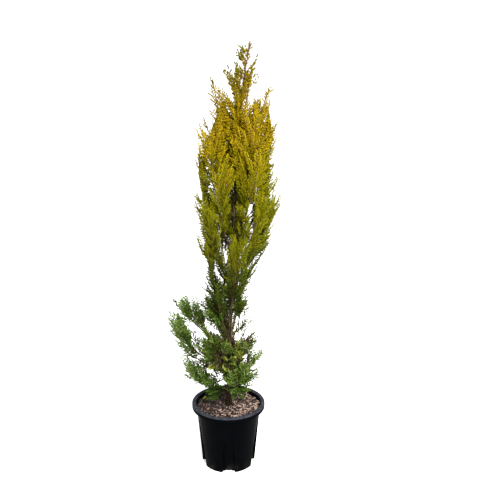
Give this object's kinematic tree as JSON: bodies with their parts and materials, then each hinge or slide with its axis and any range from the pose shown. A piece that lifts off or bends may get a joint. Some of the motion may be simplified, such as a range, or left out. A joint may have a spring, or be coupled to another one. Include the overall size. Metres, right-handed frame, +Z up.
{
  "type": "potted lemon cypress",
  "caption": "Narrow young conifer with one leaning leader, upswept feathery foliage and a wide low skirt, in a round fluted nursery pot filled with bark potting mix.",
  "frame": {"origin": "middle of the pot's flat underside", "axes": "+Z up along the pot's axis, -Y to the front as the plant is seen in the picture, -X to the side on which the low skirt of foliage reaches furthest"},
  "size_m": [0.4594, 0.4144, 1.6893],
  "materials": {
    "pot": "black moulded plastic with a soft sheen, lightly scuffed at the rim and foot",
    "potting_mix": "coarse bark chips in dark composted bark",
    "bark": "thin rough reddish-brown bark",
    "foliage_green": "deep green scale foliage",
    "foliage_lime": "yellow-green scale foliage",
    "foliage_gold": "golden-yellow scale foliage"
  },
  "bodies": {
    "root": {"bough_middle_1": "bark", "bough_middle_2": "bark", "bough_middle_3": "bark", "bough_middle_4": "bark", "bough_middle_5": "bark", "bough_skirt_1": "bark", "bough_skirt_2": "bark", "bough_skirt_3": "bark", "bough_skirt_4": "bark", "bough_skirt_5": "bark", "bough_spread_1": "bark", "bough_spread_2": "bark", "bough_spread_3": "bark", "bough_spread_4": "bark", "bough_spread_5": "bark", "foliage_low_1": "foliage_green", "foliage_low_2": "foliage_green", "foliage_low_3": "foliage_green", "foliage_low_4": "foliage_green", "foliage_lower_1": "foliage_lime", "foliage_lower_2": "foliage_lime", "foliage_lower_3": "foliage_lime", "foliage_lower_4": "foliage_lime", "foliage_lower_5": "foliage_lime", "foliage_middle_1": "foliage_lime", "foliage_middle_2": "foliage_lime", "foliage_middle_3": "foliage_lime", "foliage_middle_4": "foliage_lime", "foliage_middle_5": "foliage_lime", "foliage_skirt_1": "foliage_green", "foliage_skirt_2": "foliage_green", "foliage_skirt_3": "foliage_green", "foliage_skirt_4": "foliage_green", "foliage_skirt_5": "foliage_green", "foliage_spread_1": "foliage_green", "foliage_spread_2": "foliage_green", "foliage_spread_3": "foliage_green", "foliage_spread_4": "foliage_green", "foliage_spread_5": "foliage_green", "foliage_tip_1": "foliage_gold", "foliage_tip_2": "foliage_gold", "foliage_tip_3": "foliage_gold", "foliage_top_1": "foliage_gold", "foliage_top_2": "foliage_gold", "foliage_top_3": "foliage_gold", "foliage_top_4": "foliage_gold", "foliage_top_5": "foliage_gold", "foliage_upper_1": "foliage_gold", "foliage_upper_2": "foliage_gold", "foliage_upper_3": "foliage_gold", "foliage_upper_4": "foliage_gold", "foliage_upper_5": "foliage_gold", "foliage_waist_1": "foliage_lime", "foliage_waist_2": "foliage_lime", "foliage_waist_3": "foliage_lime", "foliage_waist_4": "foliage_lime", "pot": "pot", "potting_mix": "potting_mix", "trunk": "bark"}
  },
  "joints": []
}
